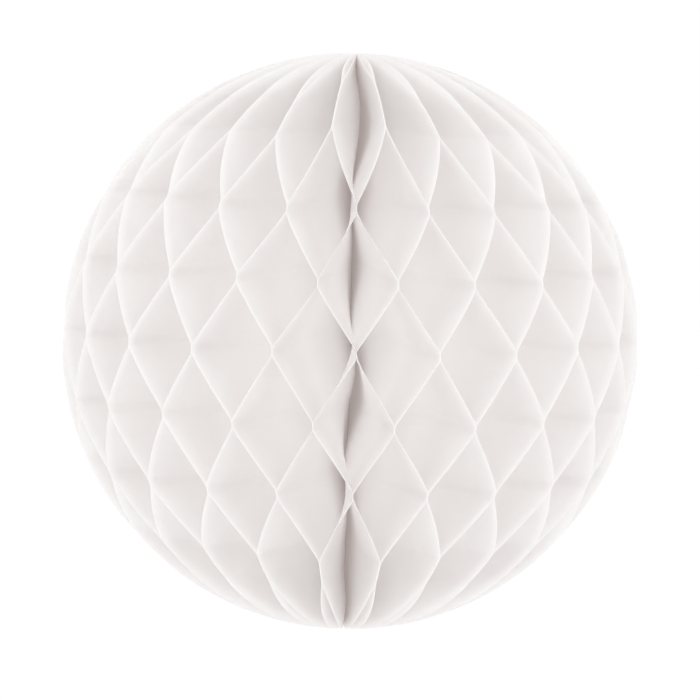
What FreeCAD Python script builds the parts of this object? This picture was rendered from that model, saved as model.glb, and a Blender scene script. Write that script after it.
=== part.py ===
"""Paper honeycomb ball, open: half-discs of tissue that stand on an upright spine like the pages of a book.

Neighbouring sheets are glued along level lines that alternate from row to row, so the open pages bulge into
columns of diamond cells. Past the highest and the lowest row the sheets are free and spread out evenly towards
the poles. The first and the last sheet are pasted flat on half-round cover cards, and three adhesive pads hold
the two cards together at the seam.

Millimetres. The origin is the ball's centre, +Z runs up the spine, and the seam is towards +Y. An azimuth is
counted from the seam, anticlockwise seen from above, so it grows from the first cover round to the last.
"""

import FreeCAD, Part
import math
import os

from FreeCAD import Vector

# The ball and its sheets
BALL_R = 101.6  # an 8 inch ball
OPEN_SHEETS = 44  # those that open into cells, two for each column
SHEET_STEP = 360.0 / OPEN_SHEETS
TISSUE = 0.1  # real tissue is 0.04 thick; this is what a solid can hold
TISSUE_INNER_R = 5.0  # the sheets' straight edges stay clear of each other round the spine

# The glue lines: rows on one side of each sheet alternate with rows on its other side
ROW_PITCH = 24.3
MIDDLE_ROW_Z = 4.4  # the half-discs are cut a little below the middle of a row
ROWS_ABOVE = 3
ROWS_BELOW = 3
GLUE_WIDTH = 1.6
GLUE_GAP = 0.1
HELD_PAST_GLUE = 8.0  # past the end rows the sheets stay together this far before they spread

# The seam: card, pads, card
PAD_THICK = 0.3
PAD_R = 6.0
PAD_FROM_SPINE = 60.0
PAD_SPACING = 52.0
CARD = 0.3
CARD_R = BALL_R - 2.5  # the cards are cut inside the tissue's rim
CARD_INNER_R = 9.0  # and stop short of the spine, so that the ball can close on them
CARD_CORNER = 4.0
PASTE = 0.02
FREE_ASIDE = 0.1  # how much further from the seam the sheets beside it stand at the poles

# The spine
THREAD_R = 0.75
KNOT_R = 2.6
KNOT_SINK = 3.5  # from the pole in to a knot's centre: the tissue hides both knots
THREAD_IN_KNOT = 1.0

CARD_MIDDLE = PAD_THICK / 2 + CARD / 2
FLAT_SHEET_MIDDLE = PAD_THICK / 2 + CARD + PASTE + TISSUE / 2
GLUED_MIDDLE = (TISSUE + GLUE_GAP) / 2  # from a glue line's middle plane to a sheet's own
SEAM_GLUED_MIDDLE = FLAT_SHEET_MIDDLE + TISSUE + GLUE_GAP


def place(azimuth, radius, aside, z):
    """A point at a radius on the half-plane of an azimuth, moved aside in the way that azimuth grows."""
    a = math.radians(azimuth)
    x = -radius * math.sin(a) - aside * math.cos(a)
    y = radius * math.cos(a) - aside * math.sin(a)
    return Vector(x, y, z)


def sheet_section(azimuth, aside, z):
    """The level cut through a sheet: a thin upright strip's outline, from the spine to past the rim."""
    inner, outer = TISSUE_INNER_R, BALL_R + 2
    low, high = aside - TISSUE / 2, aside + TISSUE / 2
    corners = [
        place(azimuth, inner, low, z),
        place(azimuth, outer, low, z),
        place(azimuth, outer, high, z),
        place(azimuth, inner, high, z),
    ]
    return Part.makePolygon(corners + corners[:1])


def open_sheet(number):
    """One of the sheets that open: flat at each glue line, and twisting from one azimuth to the next between."""
    beside_seam = (number == 0) - (number == OPEN_SHEETS - 1)
    free_azimuth, free_aside = SHEET_STEP * (number + 0.5), beside_seam * FREE_ASIDE
    sections = [sheet_section(free_azimuth, free_aside, -BALL_R - 1)]
    for row in range(ROWS_BELOW, -ROWS_ABOVE - 1, -1):
        # On every other row a sheet is glued to the sheet before it, and on the rows between to the one after
        glued_back = (number + row) % 2 == 0
        azimuth = SHEET_STEP * (number if glued_back else number + 1)
        at_seam = azimuth in (0, SHEET_STEP * OPEN_SHEETS)
        aside = SEAM_GLUED_MIDDLE if at_seam else GLUED_MIDDLE
        row_z = MIDDLE_ROW_Z - row * ROW_PITCH
        below = GLUE_WIDTH / 2 + (HELD_PAST_GLUE if row == ROWS_BELOW else 0)
        above = GLUE_WIDTH / 2 + (HELD_PAST_GLUE if row == -ROWS_ABOVE else 0)
        for z in (row_z - below, row_z + above):
            sections.append(sheet_section(azimuth, aside if glued_back else -aside, z))
    sections.append(sheet_section(free_azimuth, free_aside, BALL_R + 1))
    zigzag = Part.makeLoft(sections, True, True)
    return zigzag.common(Part.makeSphere(BALL_R)).Solids[0]


def half_disc(radius, inner_r, thickness, middle, corner=0.0):
    """A flat D, with its straight side along the spine, whose middle plane is moved aside from the seam."""
    half_height = math.sqrt(radius**2 - inner_r**2)
    low, high = Vector(0, inner_r, -half_height), Vector(0, inner_r, half_height)
    rim = Part.Arc(low, Vector(0, radius, 0), high).toShape()
    outline = Part.Wire([rim, Part.LineSegment(high, low).toShape()])
    plate = Part.Face(outline).extrude(Vector(thickness, 0, 0))
    plate.translate(Vector(-middle - thickness / 2, 0, 0))
    if corner:
        sharp = [e for e in plate.Edges if abs(e.Length - thickness) < 1e-6]
        plate = plate.makeFillet(corner, sharp)
    return plate.Solids[0]


def adhesive_pads():
    """Three round pads in a line, half-way out along the cards."""
    pads = []
    for count in (-1, 0, 1):
        centre = Vector(-PAD_THICK / 2, PAD_FROM_SPINE, count * PAD_SPACING)
        pads.append(Part.makeCylinder(PAD_R, PAD_THICK, centre, Vector(1, 0, 0)))
    return Part.makeCompound(pads)


def spine_thread():
    reach = BALL_R - KNOT_SINK - THREAD_IN_KNOT
    return Part.makeCylinder(THREAD_R, 2 * reach, Vector(0, 0, -reach))


def knot(side, thread):
    """The round knot that ties the thread off at a pole, with the thread's end inside it."""
    ball = Part.makeSphere(KNOT_R, Vector(0, 0, side * (BALL_R - KNOT_SINK)))
    return ball.cut(thread).Solids[0]


def main():
    thread = spine_thread()
    nodes = {
        "first_cover_card": half_disc(CARD_R, CARD_INNER_R, CARD, CARD_MIDDLE, CARD_CORNER),
        "last_cover_card": half_disc(CARD_R, CARD_INNER_R, CARD, -CARD_MIDDLE, CARD_CORNER),
        "adhesive_pads": adhesive_pads(),
        "spine_thread": thread,
        "top_knot": knot(1, thread),
        "bottom_knot": knot(-1, thread),
        "tissue_sheet_01": half_disc(BALL_R, CARD_INNER_R, TISSUE, FLAT_SHEET_MIDDLE),
    }
    for number in range(OPEN_SHEETS):
        nodes[f"tissue_sheet_{number + 2:02d}"] = open_sheet(number)
    nodes[f"tissue_sheet_{OPEN_SHEETS + 2:02d}"] = half_disc(
        BALL_R, CARD_INNER_R, TISSUE, -FLAT_SHEET_MIDDLE
    )
    os.makedirs("parts", exist_ok=True)
    for name, shape in nodes.items():
        assert shape.isValid(), name
        shape.exportStep(f"parts/{name}.step")
        print(f"{name}: {shape.Volume:.1f} mm3")


main()
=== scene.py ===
import math

import bpy
import numpy as np
from mathutils import Matrix, Vector


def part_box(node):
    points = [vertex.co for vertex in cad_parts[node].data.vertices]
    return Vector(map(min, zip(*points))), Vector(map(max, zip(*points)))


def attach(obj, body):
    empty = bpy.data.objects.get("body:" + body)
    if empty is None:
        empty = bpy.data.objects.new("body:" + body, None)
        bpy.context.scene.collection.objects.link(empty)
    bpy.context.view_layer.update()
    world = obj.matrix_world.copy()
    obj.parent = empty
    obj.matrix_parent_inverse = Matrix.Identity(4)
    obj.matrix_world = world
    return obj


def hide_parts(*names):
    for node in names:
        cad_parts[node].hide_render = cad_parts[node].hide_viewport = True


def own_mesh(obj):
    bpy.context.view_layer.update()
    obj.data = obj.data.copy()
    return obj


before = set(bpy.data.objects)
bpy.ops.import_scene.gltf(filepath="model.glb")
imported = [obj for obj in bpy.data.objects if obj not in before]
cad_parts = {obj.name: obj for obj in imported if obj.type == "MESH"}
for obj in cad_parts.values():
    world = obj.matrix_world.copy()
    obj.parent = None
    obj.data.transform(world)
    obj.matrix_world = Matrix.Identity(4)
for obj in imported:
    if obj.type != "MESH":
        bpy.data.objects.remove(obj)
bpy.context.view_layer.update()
bpy.ops.object.select_all(action="DESELECT")


# ---- White tissue ----
# Thin, uncoated white tissue, about 18 grams a square metre. It is matt, lets much of the light through, and is
# a little cloudy, with a fine crepe from the mill. Its die-cut rim is drawn lighter, as a painted highlight.

BALL_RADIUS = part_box("tissue_sheet_01")[1][1]
RIM_HIGHLIGHT_WIDTH = 0.0012
HIGHLIGHT_FROM = 2.5  # in widths of the painted rim highlight, in from the rim
HIGHLIGHT_FULL = 0.3
# painted highlight: the colour the tissue is drawn in along its rim
PAINTED_RIM_HIGHLIGHT = (0.972, 0.969, 0.967, 1)
TISSUE_WHITE = (0.942, 0.935, 0.932, 1)
TISSUE_CLOUD = (0.925, 0.915, 0.912, 1)
# painted fill light: the lighter colour the tissue is drawn in deep inside the ball
PAINTED_DEEP_FILL = (0.988, 0.984, 0.983, 1)
# painted shade: the darker colour the tissue is drawn in close to the spine
PAINTED_SPINE_SHADE = (0.924, 0.907, 0.9, 1)
DEEP_FILL_FROM = 0.92  # shares of the radius
DEEP_FILL_TO = 0.62
SPINE_SHADE_WIDTH = 0.024
SPINE_SHADE_FULL = 0.2
CLOUD_SCALE = 60
CREPE_SCALE = 140
FIBRE_SCALE = 1500
CREPE_STRENGTH = 0.2
CREPE_DEPTH = 0.0003
LIGHT_THROUGH = 0.4
# painted glow: the tissue is given a faint emission of its own to lift it deep in the cells
PAINTED_GLOW_COLOUR = (1.0, 0.985, 0.98, 1)
PAINTED_GLOW_STRENGTH = 0.05
BLACK = (0, 0, 0, 1)
WHITE = (1, 1, 1, 1)


def new_material(name):
    """An empty node material with its output, its shader and the coordinates of the piece itself."""
    material = bpy.data.materials.new(name)
    material.use_nodes = True
    nodes = material.node_tree.nodes
    nodes.clear()
    output = nodes.new("ShaderNodeOutputMaterial")
    shader = nodes.new("ShaderNodeBsdfPrincipled")
    coordinates = nodes.new("ShaderNodeTexCoord")
    material.node_tree.links.new(shader.outputs["BSDF"], output.inputs["Surface"])
    return material, shader, coordinates.outputs["Object"]


def noise(material, place, scale, detail=3.0, roughness=0.5):
    node = material.node_tree.nodes.new("ShaderNodeTexNoise")
    node.inputs["Scale"].default_value = scale
    node.inputs["Detail"].default_value = detail
    node.inputs["Roughness"].default_value = roughness
    material.node_tree.links.new(place, node.inputs["Vector"])
    return node.outputs["Fac"]


def ramp(material, value, stops):
    """A colour ramp over a value, from (position, colour) stops."""
    node = material.node_tree.nodes.new("ShaderNodeValToRGB")
    elements = node.color_ramp.elements
    while len(elements) < len(stops):
        elements.new(0.5)
    for element, (position, colour) in zip(elements, stops):
        element.position = position
        element.color = colour
    material.node_tree.links.new(value, node.inputs["Fac"])
    return node.outputs["Color"]


def bump(material, shader, height, strength, depth):
    node = material.node_tree.nodes.new("ShaderNodeBump")
    node.inputs["Strength"].default_value = strength
    node.inputs["Distance"].default_value = depth
    material.node_tree.links.new(height, node.inputs["Height"])
    material.node_tree.links.new(node.outputs["Normal"], shader.inputs["Normal"])
    return node.outputs["Normal"]


def tissue_material():
    material, shader, place = new_material("white_tissue")
    nodes, links = material.node_tree.nodes, material.node_tree.links

    # how far out from the ball's centre a point of the tissue is, as a share of the radius
    length = nodes.new("ShaderNodeVectorMath")
    length.operation = "LENGTH"
    links.new(place, length.inputs[0])
    share = nodes.new("ShaderNodeMath")
    share.operation = "DIVIDE"
    links.new(length.outputs["Value"], share.inputs[0])
    share.inputs[1].default_value = BALL_RADIUS
    # painted highlight: the tissue is drawn lighter in a narrow band along its rim
    highlight_share = RIM_HIGHLIGHT_WIDTH / BALL_RADIUS
    highlight_stops = [(1 - HIGHLIGHT_FROM * highlight_share, BLACK), (1 - HIGHLIGHT_FULL * highlight_share, WHITE)]
    rim_highlight = ramp(material, share.outputs["Value"], highlight_stops)
    # painted fill light: the tissue is drawn lighter the deeper it lies inside the ball
    depth = ramp(material, share.outputs["Value"], [(DEEP_FILL_TO, WHITE), (DEEP_FILL_FROM, BLACK)])

    # how far a point is from the spine, as a share of the width of the painted shade there
    flat_place = nodes.new("ShaderNodeVectorMath")
    flat_place.operation = "MULTIPLY"
    links.new(place, flat_place.inputs[0])
    flat_place.inputs[1].default_value = (1, 1, 0)
    from_spine = nodes.new("ShaderNodeVectorMath")
    from_spine.operation = "LENGTH"
    links.new(flat_place.outputs["Vector"], from_spine.inputs[0])
    spine_shade_share = nodes.new("ShaderNodeMath")
    spine_shade_share.operation = "DIVIDE"
    links.new(from_spine.outputs["Value"], spine_shade_share.inputs[0])
    spine_shade_share.inputs[1].default_value = SPINE_SHADE_WIDTH
    # painted shade: the tissue is drawn darker close to the spine, where the cells narrow into a deep slit
    pasted = ramp(material, spine_shade_share.outputs["Value"], [(SPINE_SHADE_FULL, WHITE), (1.0, BLACK)])

    # cloudy white, and over it painted fill light in the depth, painted shade by the spine, and a painted
    # highlight on the rim
    cloudy = noise(material, place, CLOUD_SCALE, 4)
    colour = ramp(material, cloudy, [(0.35, TISSUE_CLOUD), (0.65, TISSUE_WHITE)])
    for factor, tone in ((depth, PAINTED_DEEP_FILL), (pasted, PAINTED_SPINE_SHADE), (rim_highlight, PAINTED_RIM_HIGHLIGHT)):
        over = nodes.new("ShaderNodeMix")
        over.data_type = "RGBA"
        links.new(factor, over.inputs["Factor"])
        links.new(colour, over.inputs["A"])
        over.inputs["B"].default_value = tone
        colour = over.outputs["Result"]
    links.new(colour, shader.inputs["Base Color"])
    shader.inputs["Roughness"].default_value = 0.9
    shader.inputs["Specular IOR Level"].default_value = 0.2
    # painted glow: a faint emission that brightens the tissue, though it is no lamp
    shader.inputs["Emission Color"].default_value = PAINTED_GLOW_COLOUR
    shader.inputs["Emission Strength"].default_value = PAINTED_GLOW_STRENGTH

    crepe = nodes.new("ShaderNodeMath")
    crepe.operation = "ADD"
    links.new(noise(material, place, CREPE_SCALE, 4, 0.6), crepe.inputs[0])
    links.new(noise(material, place, FIBRE_SCALE, 2), crepe.inputs[1])
    normal = bump(material, shader, crepe.outputs["Value"], CREPE_STRENGTH, CREPE_DEPTH)

    glow = nodes.new("ShaderNodeBsdfTranslucent")
    links.new(colour, glow.inputs["Color"])
    links.new(normal, glow.inputs["Normal"])
    mix = nodes.new("ShaderNodeMixShader")
    mix.inputs["Fac"].default_value = LIGHT_THROUGH
    links.new(shader.outputs["BSDF"], mix.inputs[1])
    links.new(glow.outputs["BSDF"], mix.inputs[2])
    output = next(n for n in nodes if n.type == "OUTPUT_MATERIAL")
    links.new(mix.outputs["Shader"], output.inputs["Surface"])
    return material


white_tissue = tissue_material()


# ---- The cut sheet ----
# The pad is cut through in one stroke to a stack of half-discs, so every sheet is the same flat D. It is cut
# here once, as a grid whose level lines follow the glue lines and whose last column is the round rim.

ROW_PITCH = 0.0243
MIDDLE_ROW_Z = 0.0044
ROWS_ABOVE = 3
ROWS_BELOW = 3
GLUE_HALF = 0.0007
BESIDE_GLUE = (-2.6, -1.8, -1, 0, 1, 1.8, 2.6)  # level lines near a glue line, in half-widths of the glue
HELD_PAST_GLUE = 0.008
SPINE_EDGE = 0.0009
NARROWEST_EDGE = 0.8  # where the sheet is narrow, the straight edge is at most this share of its width
TISSUE_THICK = 0.00008
CUT_COLUMNS = 22
CROWDED_TO_RIM = 1.7
POLE_ANGLE = 88.4
RIM_STEPS = 88

rim_angles = np.radians(np.linspace(-POLE_ANGLE, POLE_ANGLE, RIM_STEPS + 1))
row_heights = MIDDLE_ROW_Z + ROW_PITCH * np.arange(-ROWS_BELOW, ROWS_ABOVE + 1)
glue_levels = (row_heights[:, None] + GLUE_HALF * np.array(BESIDE_GLUE)).ravel()
ends_held = [row_heights[0] - HELD_PAST_GLUE, row_heights[-1] + HELD_PAST_GLUE]
glue_levels = np.append(glue_levels, ends_held)
rim_levels = BALL_RADIUS * np.sin(rim_angles)
rim_levels = [z for z in rim_levels if abs(glue_levels - z).min() > GLUE_HALF / 3]
levels = np.sort(np.concatenate([glue_levels, rim_levels]))


def cut_sheet(name, straight_edge):
    """A flat half-disc on the XZ plane, from its straight edge out to the ball's rim."""
    bpy.ops.mesh.primitive_grid_add(x_subdivisions=CUT_COLUMNS, y_subdivisions=len(levels) - 1, size=1)
    sheet = bpy.context.object
    sheet.name = name
    rim = np.sqrt(BALL_RADIUS**2 - levels**2)
    edge = np.minimum(straight_edge, NARROWEST_EDGE * rim)
    out = 1 - (1 - np.linspace(0, 1, CUT_COLUMNS + 1)) ** CROWDED_TO_RIM
    across = edge[:, None] + (rim - edge)[:, None] * out
    points = np.zeros((len(levels), CUT_COLUMNS + 1, 3))
    points[..., 0] = across
    points[..., 2] = levels[:, None]
    sheet.data.vertices.foreach_set("co", points.ravel())
    sheet.data.update()
    return sheet


def finish_sheet(sheet):
    """Gives a folded sheet the thickness of tissue, and smooth shading up to its cut edge."""
    bpy.ops.object.select_all(action="DESELECT")
    sheet.select_set(True)
    bpy.context.view_layer.objects.active = sheet
    skin = sheet.modifiers.new("thickness", "SOLIDIFY")
    skin.thickness = TISSUE_THICK
    skin.offset = 0
    bpy.ops.object.modifier_apply(modifier=skin.name)
    bpy.ops.object.shade_smooth_by_angle(angle=math.radians(60))
    sheet.data.materials.clear()
    sheet.data.materials.append(white_tissue)


# ---- Open sheets ----
# Forty-four half-discs of the pad. Each is glued to the sheet before it on every other row and to the sheet
# after it on the rows between, so that it zigzags as the ball opens. Past the end rows it is free, and turns to
# its own place in an even fan round the pole. No line is glued quite where it should be, as it is done by hand.

OPEN_SHEETS = 44
SHEET_TURN = 2 * math.pi / OPEN_SHEETS
STACK_HALF = 0.00057  # from the seam's middle to the outside of a pasted sheet
BEND = 0.07
GLUED_ASIDE = 0.00005
FREE_ASIDE = 0.0002
CLEAR_OF_CARDS_FROM = 0.6  # of the way out to the cards' straight edges
SWAY_FROM_SPINE = 0.012
SWAY_TOP_Z = 0.0776
SWAY_RIM_SHARE = 0.12
SWAY_MIDDLE = 0.0006
SLOW_SWAY, SLOW_LENGTH = 0.0012, 0.085
QUICK_SWAY, QUICK_LENGTH = 0.0011, 0.046
HEIGHT_SPREAD = 0.0005
TURN_SPREAD = 0.22  # degrees
FREE_SPREAD = 0.35
FRONT_LINE = OPEN_SHEETS // 2
BESIDE_FRONT = [FRONT_LINE - 1, FRONT_LINE + 1]
TOP_ROW_RAISED = (0.0039, 0.0034)
FOOT_ROW_LOWERED = 0.002
FRONT_LINE_TURNED = math.radians(0.35)
FLAT_SHEETS_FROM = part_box("tissue_sheet_01")[0][1]

by_hand = np.random.default_rng(8)
pairs = OPEN_SHEETS + 1
line_height = by_hand.normal(0, HEIGHT_SPREAD, (len(row_heights), pairs))
line_height[-1, BESIDE_FRONT] += TOP_ROW_RAISED
line_height[0, BESIDE_FRONT] -= FOOT_ROW_LOWERED
line_turn = np.radians(by_hand.normal(0, TURN_SPREAD, (len(row_heights), pairs)))
line_turn[-2, FRONT_LINE] -= FRONT_LINE_TURNED
line_turn[:, [0, OPEN_SHEETS]] = 0
free_turn = np.radians(by_hand.normal(0, FREE_SPREAD, (2, OPEN_SHEETS)))


def soft_ramp(x, bend):
    """From 0 to 1 in a straight slope, with a bend at both ends."""
    x = np.clip(x, 0, 1)
    rising = np.where(x < bend, x**2 / (2 * bend), x - bend / 2)
    return np.where(x > 1 - bend, 1 - bend - (1 - x) ** 2 / (2 * bend), rising) / (1 - bend)


def sway(azimuth, radius, z):
    """The tissue's uneven pull, as a distance aside: most near the spine, and nothing at the rim."""
    near_spine = radius / SWAY_FROM_SPINE * np.exp(1 - radius / SWAY_FROM_SPINE)
    inside = np.clip((1 - np.hypot(radius, z) / BALL_RADIUS) / SWAY_RIM_SHARE, 0, 1)
    from_front = azimuth - math.pi
    slow = SLOW_SWAY * np.cos(2 * math.pi * (z - SWAY_TOP_Z) / SLOW_LENGTH + 2 * from_front)
    quick = QUICK_SWAY * np.cos(2 * math.pi * (z - SWAY_TOP_Z) / QUICK_LENGTH + 3 * from_front)
    return near_spine * inside * (SWAY_MIDDLE + slow + quick)


def fold_sheet(points, number):
    """The flat sheet's points (distance out, nothing, height), moved to where the open ball holds that sheet."""
    radius, z = points[:, 0], points[:, 2]
    row = np.arange(len(row_heights))
    before = (number + row + ROWS_BELOW) % 2 == 0
    line = np.where(before, number, number + 1)
    side = np.where(before, 1, -1)
    at_seam = (line == 0) | (line == OPEN_SHEETS)
    beside_seam = (number == 0) - (number == OPEN_SHEETS - 1)

    # the sheet's stations from pole to pole: a free end, the glue lines, and the other free end
    held = HELD_PAST_GLUE + line_height[[0, -1], line[[0, -1]]]
    heights = row_heights + line_height[row, line]
    lows, highs = heights - GLUE_HALF, heights + GLUE_HALF
    lows[0] -= held[0]
    highs[-1] += held[1]
    lows = np.concatenate([[-BALL_RADIUS], lows, [BALL_RADIUS]])
    highs = np.concatenate([[-BALL_RADIUS], highs, [BALL_RADIUS]])
    free_turns = (number + 0.5) * SHEET_TURN + free_turn[:, number]
    turns = np.concatenate([free_turns[:1], line * SHEET_TURN + line_turn[row, line], free_turns[1:]])
    stacked = STACK_HALF + 2 * TISSUE_THICK - GLUED_ASIDE
    free_clear = [beside_seam * FREE_ASIDE]
    clear = np.concatenate([free_clear, side * at_seam * stacked, free_clear])
    glued = np.concatenate([[0], side * GLUED_ASIDE, [0]])

    below = np.clip(np.searchsorted(lows, z, side="right") - 1, 0, len(lows) - 2)
    blend = soft_ramp((z - highs[below]) / (lows[below + 1] - highs[below]), BEND)
    turn = turns[below] + (turns[below + 1] - turns[below]) * blend

    cards_neared = radius / FLAT_SHEETS_FROM - CLEAR_OF_CARDS_FROM
    clear_of_cards = np.clip(cards_neared / (1 - CLEAR_OF_CARDS_FROM), 0, 1)
    aside_low = glued[below] + clear[below] * clear_of_cards
    aside_high = glued[below + 1] + clear[below + 1] * clear_of_cards
    aside = aside_low + (aside_high - aside_low) * blend + sway(turn, radius, z)

    x = -radius * np.sin(turn) - aside * np.cos(turn)
    y = radius * np.cos(turn) - aside * np.sin(turn)
    return np.stack([x, y, z], axis=1)


flat_cut = cut_sheet("flat_cut", SPINE_EDGE)
flat_points = np.zeros(len(flat_cut.data.vertices) * 3)
flat_cut.data.vertices.foreach_get("co", flat_points)
flat_points = flat_points.reshape(-1, 3)

for number in range(OPEN_SHEETS):
    name = f"sheet_{number + 2:02d}"
    sheet = bpy.data.objects.new(f"open_{name}", flat_cut.data.copy())
    bpy.context.scene.collection.objects.link(sheet)
    sheet.data.vertices.foreach_set("co", fold_sheet(flat_points, number).ravel())
    sheet.data.update()
    finish_sheet(sheet)
    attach(sheet, name)
    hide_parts(f"tissue_{name}")
    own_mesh(sheet)

bpy.data.objects.remove(flat_cut)


# ---- First and last sheet ----
# The two outside sheets of the pad are pasted flat on the cover cards, so they never open. They stop short of
# the spine with the cards and share the tissue's round rim.

for name, body in (("tissue_sheet_01", "first_cover"), ("tissue_sheet_46", "last_cover")):
    sheet = cut_sheet(name.replace("tissue", "pasted"), FLAT_SHEETS_FROM)
    low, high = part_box(name)
    points = np.zeros(len(sheet.data.vertices) * 3)
    sheet.data.vertices.foreach_get("co", points)
    points = points.reshape(-1, 3)
    turned = np.stack([np.full(len(points), (low[0] + high[0]) / 2), points[:, 0], points[:, 2]], axis=1)
    sheet.data.vertices.foreach_set("co", turned.ravel())
    sheet.data.update()
    finish_sheet(sheet)
    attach(sheet, body)
    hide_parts(name)


# ---- Cover cards ----
# Two half-round covers of thin white board, die-cut a little inside the tissue's rim. They are smooth on the
# outside, with a faint paper grain and slightly greyer cut edges.


def paper_board():
    material, shader, place = new_material("white_board")
    tone = [(0.35, (0.86, 0.85, 0.835, 1)), (0.65, (0.9, 0.892, 0.88, 1))]
    colour = ramp(material, noise(material, place, 220, 5, 0.6), tone)
    material.node_tree.links.new(colour, shader.inputs["Base Color"])
    shader.inputs["Roughness"].default_value = 0.72
    shader.inputs["Specular IOR Level"].default_value = 0.35
    bump(material, shader, noise(material, place, 1800, 3), 0.25, 0.00008)
    return material


white_board = paper_board()
for name in ("first_cover_card", "last_cover_card"):
    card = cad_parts[name]
    card.data.materials.clear()
    card.data.materials.append(white_board)


# ---- Adhesive pads ----
# Three round dots of double-sided foam tape, half-way out along the cards. They are soft, closed-cell and
# slightly yellow, and they hold the two covers together while the ball is open.


def foam_tape():
    material, shader, place = new_material("foam_tape")
    tone = [(0.4, (0.83, 0.81, 0.74, 1)), (0.6, (0.9, 0.885, 0.83, 1))]
    colour = ramp(material, noise(material, place, 900, 3), tone)
    material.node_tree.links.new(colour, shader.inputs["Base Color"])
    shader.inputs["Roughness"].default_value = 0.6
    bump(material, shader, noise(material, place, 2600, 2), 0.5, 0.0001)
    return material


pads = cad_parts["adhesive_pads"]
pads.data.materials.clear()
pads.data.materials.append(foam_tape())


# ---- Spine thread ----
# White cotton thread of three twisted strands, which the sheets' straight edges are gathered round. It runs
# from pole to pole and ends in a cut tail past each knot.

STRANDS = 3
STRAND_RADIUS = 0.00036
STRAND_FROM_AXIS = 0.00038
TWIST_PITCH = 0.0032
TAIL = 0.0035


def cotton():
    material, shader, place = new_material("cotton_thread")
    tone = [(0.4, (0.8, 0.785, 0.75, 1)), (0.62, (0.9, 0.89, 0.865, 1))]
    colour = ramp(material, noise(material, place, 2400, 4, 0.65), tone)
    material.node_tree.links.new(colour, shader.inputs["Base Color"])
    shader.inputs["Roughness"].default_value = 0.85
    shader.inputs["Sheen Weight"].default_value = 0.3
    bump(material, shader, noise(material, place, 5200, 3), 0.6, 0.00006)
    return material


cotton_thread = cotton()
thread_low, thread_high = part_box("spine_thread")
thread_foot = thread_low[2] - TAIL
thread_length = thread_high[2] - thread_low[2] + 2 * TAIL
twists = round(thread_length / TWIST_PITCH)
strands = []
for count in range(STRANDS):
    angle = 2 * math.pi * count / STRANDS
    spot = (STRAND_FROM_AXIS * math.cos(angle), STRAND_FROM_AXIS * math.sin(angle), thread_foot)
    bpy.ops.mesh.primitive_circle_add(vertices=8, radius=STRAND_RADIUS, location=spot)
    strand = bpy.context.object
    bpy.ops.object.transform_apply(location=True)
    helix = strand.modifiers.new("twist", "SCREW")
    helix.angle = 2 * math.pi * twists
    helix.screw_offset = thread_length
    helix.steps = helix.render_steps = 10 * twists
    bpy.ops.object.modifier_apply(modifier=helix.name)
    bpy.ops.object.mode_set(mode="EDIT")
    bpy.ops.mesh.select_all(action="SELECT")
    bpy.ops.mesh.remove_doubles(threshold=1e-6)
    bpy.ops.mesh.fill_holes(sides=0)
    bpy.ops.mesh.normals_make_consistent(inside=False)
    bpy.ops.object.mode_set(mode="OBJECT")
    strands.append(strand)
bpy.ops.object.select_all(action="DESELECT")
for strand in strands:
    strand.select_set(True)
bpy.context.view_layer.objects.active = strands[0]
bpy.ops.object.join()
thread = bpy.context.object
thread.name = "twisted_thread"
bpy.ops.object.shade_smooth_by_angle(angle=math.radians(50))
thread.data.materials.clear()
thread.data.materials.append(cotton_thread)
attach(thread, "first_cover")
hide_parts("spine_thread")


# ---- Knots ----
# The thread is tied off in a tight overhand knot at each pole, sunk a few millimetres into the tissue. Each is
# three turns of the same cotton pulled into a ball.

KNOT_POINTS = 30
KNOT_CORD_RADIUS = 0.00075
KNOT_WIDTH = 0.00062
KNOT_RISE = 0.0011


def tie_knot(name, centre):
    """An overhand knot pulled tight round the spine, as one closed loop of cord."""
    path = bpy.data.curves.new(name, "CURVE")
    path.dimensions = "3D"
    path.bevel_depth = KNOT_CORD_RADIUS
    path.bevel_resolution = 4
    path.resolution_u = 5
    loop = path.splines.new("NURBS")
    loop.points.add(KNOT_POINTS - 1)
    for count, point in enumerate(loop.points):
        t = 2 * math.pi * count / KNOT_POINTS
        x = KNOT_WIDTH * (math.sin(t) + 2 * math.sin(2 * t))
        y = KNOT_WIDTH * (math.cos(t) - 2 * math.cos(2 * t))
        z = -KNOT_RISE * math.sin(3 * t)
        point.co = (centre[0] + x, centre[1] + y, centre[2] + z, 1)
    loop.use_cyclic_u = True
    loop.order_u = 4
    tied = bpy.data.objects.new(name, path)
    bpy.context.scene.collection.objects.link(tied)
    bpy.ops.object.select_all(action="DESELECT")
    tied.select_set(True)
    bpy.context.view_layer.objects.active = tied
    bpy.ops.object.convert(target="MESH")
    knot = bpy.context.object
    bpy.ops.object.shade_smooth()
    knot.data.materials.clear()
    knot.data.materials.append(cotton_thread)
    return knot


for name in ("top_knot", "bottom_knot"):
    low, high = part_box(name)
    knot = tie_knot(f"tied_{name}", (np.array(low) + np.array(high)) / 2)
    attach(knot, "first_cover")
    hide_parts(name)


# ---- Studio ----
# A wide pale floor well under the hanging ball, and soft light from all round, as in a light tent.

FLOOR_DROP = 0.32
FLOOR_HALF = 14.0
TENT_STRENGTH = 1.03
SOFTBOX_SIZE = 1.6
SOFTBOX_WATTS = 2
LIGHT_BOUNCES = 24

bpy.ops.mesh.primitive_plane_add(size=2 * FLOOR_HALF, location=(0, 0, -FLOOR_DROP))
floor = bpy.context.object
floor.name = "studio_floor"
floor_material, floor_shader, _ = new_material("pale_floor")
floor_shader.inputs["Base Color"].default_value = (0.98, 0.98, 0.98, 1)
floor_shader.inputs["Roughness"].default_value = 0.9
floor_shader.inputs["Specular IOR Level"].default_value = 0.0
floor.data.materials.append(floor_material)

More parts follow.
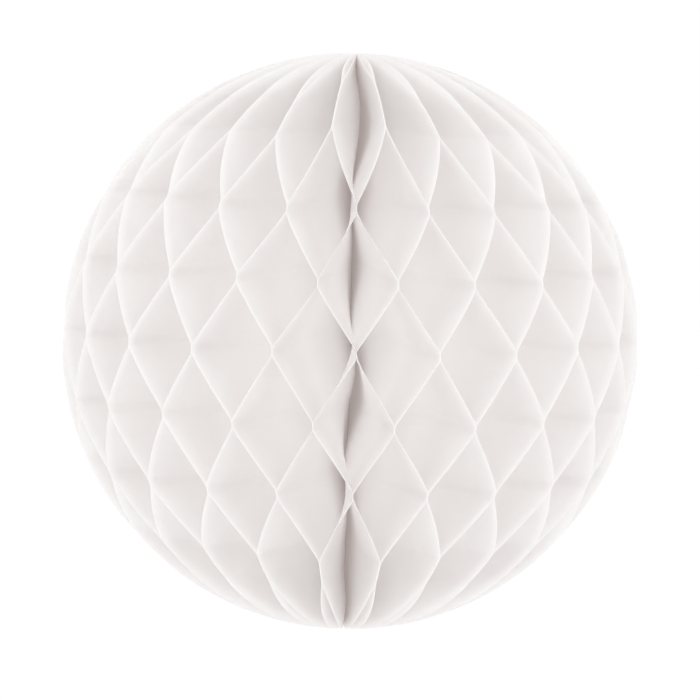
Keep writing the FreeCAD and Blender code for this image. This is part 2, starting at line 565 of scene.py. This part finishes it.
world = bpy.context.scene.world or bpy.data.worlds.new("light_tent")
bpy.context.scene.world = world
world.use_nodes = True
tent = world.node_tree.nodes["Background"]
tent.inputs["Color"].default_value = (1, 1, 1, 1)
tent.inputs["Strength"].default_value = TENT_STRENGTH


def soft_light(name, place, size, watts):
    lamp = bpy.data.lights.new(name, "AREA")
    lamp.shape = "DISK"
    lamp.size = size
    lamp.energy = watts
    light = bpy.data.objects.new(name, lamp)
    light.location = place
    light.rotation_euler = (-Vector(place)).to_track_quat("-Z", "Y").to_euler()
    bpy.context.scene.collection.objects.link(light)


soft_light("front_left_softbox", (-1.6, -2.6, 1.4), SOFTBOX_SIZE, SOFTBOX_WATTS)
soft_light("front_right_softbox", (1.6, -2.6, 1.2), SOFTBOX_SIZE, SOFTBOX_WATTS)

CAMERA_RADII = 20.0
CAMERA_RISE = math.radians(5.5)
CAMERA_TURN = math.radians(1.2)
CAMERA_ROLL = math.radians(1.35)
BALL_IN_FRAME = 0.4114
BALL_ABOVE_MIDDLE = 0.0129

distance = CAMERA_RADII * BALL_RADIUS
camera_data = bpy.data.cameras.new("camera")
camera_data.sensor_width = 36
camera_data.lens = camera_data.sensor_width * BALL_IN_FRAME * math.sqrt(CAMERA_RADII**2 - 1)
camera_data.shift_y = -BALL_ABOVE_MIDDLE
camera_data.clip_end = 100
camera = bpy.data.objects.new("camera", camera_data)
bpy.context.scene.collection.objects.link(camera)
sideways, rise = distance * math.cos(CAMERA_RISE), distance * math.sin(CAMERA_RISE)
spot = Vector((-sideways * math.sin(CAMERA_TURN), -sideways * math.cos(CAMERA_TURN), rise))
aim = (-spot).to_track_quat("-Z", "Y").to_matrix().to_4x4()
camera.matrix_world = Matrix.Translation(spot) @ aim @ Matrix.Rotation(CAMERA_ROLL, 4, "Z")
bpy.context.scene.camera = camera
bpy.context.scene.view_settings.view_transform = "Standard"
light_paths = bpy.context.scene.cycles
light_paths.max_bounces = LIGHT_BOUNCES
light_paths.diffuse_bounces = LIGHT_BOUNCES
light_paths.transmission_bounces = LIGHT_BOUNCES
